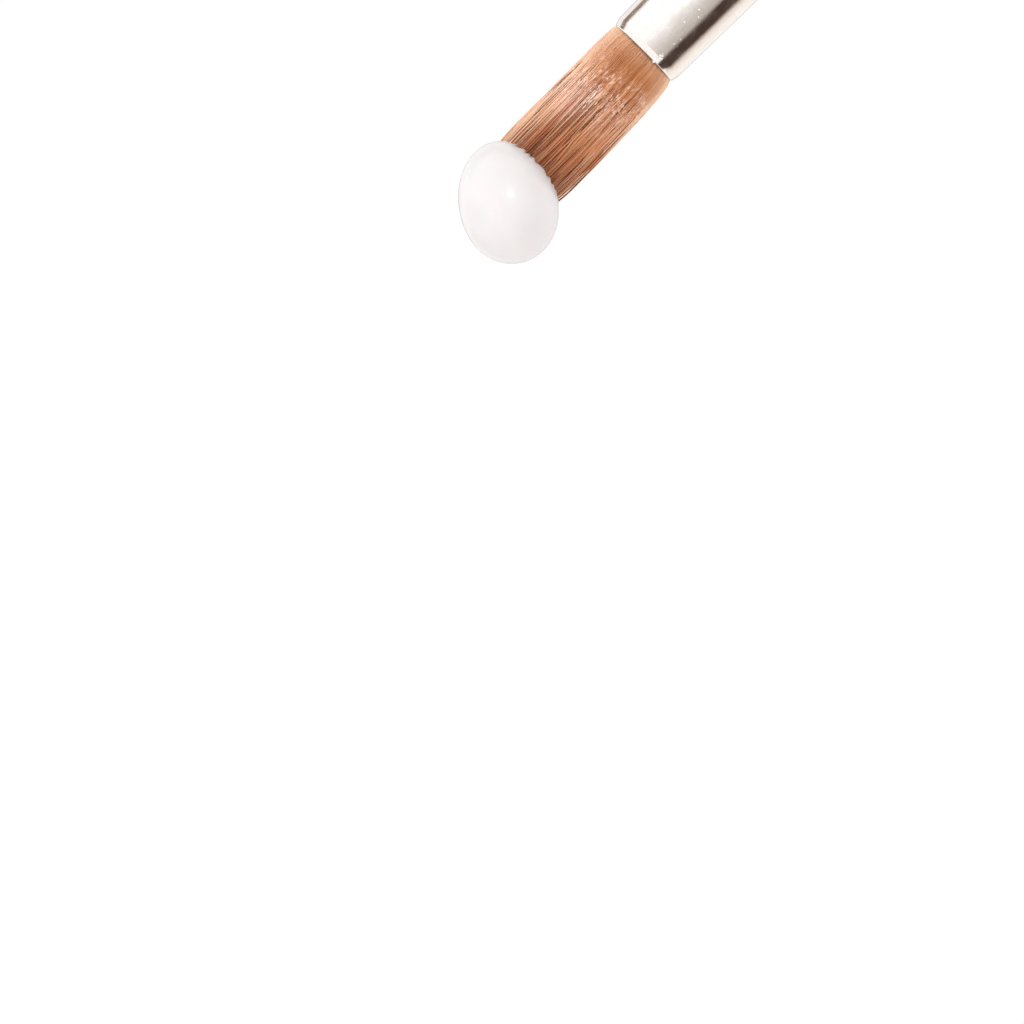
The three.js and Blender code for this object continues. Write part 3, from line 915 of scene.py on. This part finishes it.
def tent_colour(azimuth, z):
    """Bright round most of the tent, with dark gaps at these azimuths. Low down a bright ring
    shows in the ferrule's lip, and the gaps go on below it."""
    bands = (
        (-180, (0.32, 0.29, 0.27)),
        (-167, (0.42, 0.39, 0.37)),
        (-157, (1.0, 0.98, 0.96)),
        (-129, (1.0, 0.98, 0.96)),
        (-123, (0.29, 0.21, 0.16)),
        (-108, (0.25, 0.18, 0.135)),
        (-101, (1.1, 1.08, 1.06)),
        (-25, (1.2, 1.19, 1.18)),
        (-8, (1.0, 0.96, 0.93)),
        (20, (0.72, 0.67, 0.63)),
        (45, (0.55, 0.50, 0.46)),
        (55, (0.075, 0.046, 0.038)),
        (84, (0.075, 0.046, 0.038)),
        (98, (0.90, 0.80, 0.70)),
        (120, (1.08, 1.02, 0.96)),
        (150, (1.05, 1.02, 1.0)),
        (162, (0.80, 0.76, 0.72)),
        (180, (0.55, 0.52, 0.49)),
    )
    azimuths = [band[0] for band in bands]
    channels = [[band[1][c] for band in bands] for c in range(3)]
    upper = np.stack([np.interp(azimuth, azimuths, levels) for levels in channels], axis=1)
    ring = np.array((1.14, 1.11, 1.09))
    in_dark_gap = np.clip((18 - np.abs(azimuth - 69.5)) / 9, 0, 1)
    ring_top = -0.22 - 0.13 * in_dark_gap
    above = np.clip((z - ring_top) / 0.02, 0, 1)[:, None]
    below = np.clip((-0.42 - z) / 0.04, 0, 1)[:, None]
    share = np.maximum(above, below * 0.75)
    return ring * (1 - share) + upper * share


def glow_material():
    """It shines in the colour that the mesh's points give as glow."""
    material = bpy.data.materials.new("light_tent")
    material.use_nodes = True
    tree = material.node_tree
    tree.nodes.clear()
    shader = tree.nodes.new("ShaderNodeEmission")
    output = tree.nodes.new("ShaderNodeOutputMaterial")
    glow = tree.nodes.new("ShaderNodeAttribute")
    glow.attribute_name = "glow"
    tree.links.new(glow.outputs["Color"], shader.inputs["Color"])
    tree.links.new(shader.outputs[0], output.inputs["Surface"])
    return material


def make_light_tent():
    """A white tent round the brush with dark gaps. Only glossy surfaces show it. Azimuth is
    measured from the camera, towards +X."""
    radius, sides = 0.45, 240
    heights = [-0.9, -0.7, -0.5, -0.46, -0.42] + steps(-0.38, -0.05, 66) + [0.1, 0.5, 1.0, 1.6]
    points, faces, azimuths = [], [], []
    for z in heights:
        for i in range(sides + 1):
            azimuth = (i / sides * 2 - 1) * 180
            across = math.radians(azimuth)
            points.append((radius * math.sin(across), -radius * math.cos(across), z))
            azimuths.append(azimuth)
    for row in range(len(heights) - 1):
        for i in range(sides):
            low, high = row * (sides + 1) + i, (row + 1) * (sides + 1) + i
            faces.append((low, low + 1, high + 1, high))
    tent = mesh_piece("light_tent", points, faces)
    colours = np.ones((len(points), 4), np.float32)
    colours[:, :3] = tent_colour(np.array(azimuths), np.array([p[2] for p in points]))
    attribute = tent.data.attributes.new("glow", "FLOAT_COLOR", "POINT")
    attribute.data.foreach_set("color", colours.ravel())
    tent.data.materials.append(glow_material())
    tent.visible_camera = False
    tent.visible_diffuse = False
    tent.visible_shadow = False
    tent.visible_transmission = False
    tent.visible_volume_scatter = False


def make_world():
    """White behind the brush and in its gloss, and an even soft light that is dimmer than it."""
    world = bpy.data.worlds.new("studio")
    bpy.context.scene.world = world
    world.use_nodes = True
    tree = world.node_tree
    background = tree.nodes["Background"]
    path = tree.nodes.new("ShaderNodeLightPath")
    either = tree.nodes.new("ShaderNodeMath")
    either.operation = "MAXIMUM"
    tree.links.new(path.outputs["Is Camera Ray"], either.inputs[0])
    tree.links.new(path.outputs["Is Glossy Ray"], either.inputs[1])
    colour = tree.nodes.new("ShaderNodeMix")
    colour.data_type = "RGBA"
    colour.inputs[6].default_value = (0.835, 0.81, 0.808, 1)
    colour.inputs[7].default_value = (1.03, 1.03, 1.03, 1)
    tree.links.new(either.outputs[0], colour.inputs["Factor"])
    tree.links.new(colour.outputs[2], background.inputs["Color"])


def lamp(name, way, distance, size, power, colour=(1, 1, 1), aim=None):
    """A square soft light that looks at the hair from this way. Distance and size are metres,
    and power is watts."""
    light = bpy.data.lights.new(name, "AREA")
    light.size = size
    light.energy = power
    light.color = colour
    obj = bpy.data.objects.new(name, light)
    bpy.context.scene.collection.objects.link(obj)
    target = aim or Vector((0, 0, MOUTH - 10 * MM))
    obj.location = target + way.normalized() * distance
    obj.rotation_euler = way.to_track_quat("Z", "Y").to_euler()
    return obj


def make_lights(right, up, back):
    soft = (
        lamp("key", Vector((-1, -0.45, -0.7)), 0.6, 0.3, 0.44, (0.97, 1.0, 1.02)),
        lamp("rim", Vector((1, -0.1, 0.2)), 0.6, 0.25, 0.9),
        lamp("fill", Vector((-0.3, -0.45, -1)), 0.13, 0.1, 0.011),
    )
    for light in soft:
        light.visible_glossy = False
        light.visible_camera = False
    flash = back * math.cos(math.radians(24)) + up * math.sin(math.radians(24)) + right * 0.15
    small = lamp("flash", flash, 0.5, 0.07, 0.28)
    small.data.shape = "DISK"

    # These two would make the bead too bright, so they light everything else.
    hair_light = lamp("hair_light", Vector((-1, -0.15, 0.15)), 0.6, 0.15, 1.3, (1, 0.97, 0.94))
    all_but_bead = bpy.data.collections.new("lit_by_hair_light")
    for piece in bpy.context.scene.objects:
        if piece.type == "MESH" and not piece.name.startswith("bead"):
            all_but_bead.objects.link(piece)
    for light in (hair_light, soft[1]):
        light.light_linking.receiver_collection = all_but_bead


def make_floor():
    """A pale round table, well below the brush, so that every pose clears it."""
    top, radius = -0.2, 0.15
    thick = 6 * MM
    profile = [(0, top - thick), (radius - thick / 2, top - thick)]
    for angle in steps(-math.pi / 2, math.pi / 2, 8):
        out, rise = thick / 2 * math.cos(angle), thick / 2 * math.sin(angle)
        profile.append((radius - thick / 2 + out, top - thick / 2 + rise))
    profile.append((0, top))
    floor = turned("floor", profile, sides=128)
    look = Look("floor", Roughness=0.6)
    tint = look.noise(look.places(), 0.02, detail=3)
    pale = look.ramp(tint, (0.3, (0.86, 0.855, 0.85)), (0.7, (0.88, 0.875, 0.87)))
    look.to_shader("Base Color", pale)
    floor.data.materials.append(look.material)


# ---------------------------------------------------------------- the scene

make_ferrule()
make_handle()
make_tail()
make_hair_core()
make_hair()
make_bead()
make_powder()
make_droplets()
dress_inner_pieces()

make_world()
make_light_tent()
make_lights(*place_camera())
make_floor()
bpy.context.scene.view_settings.view_transform = "Standard"
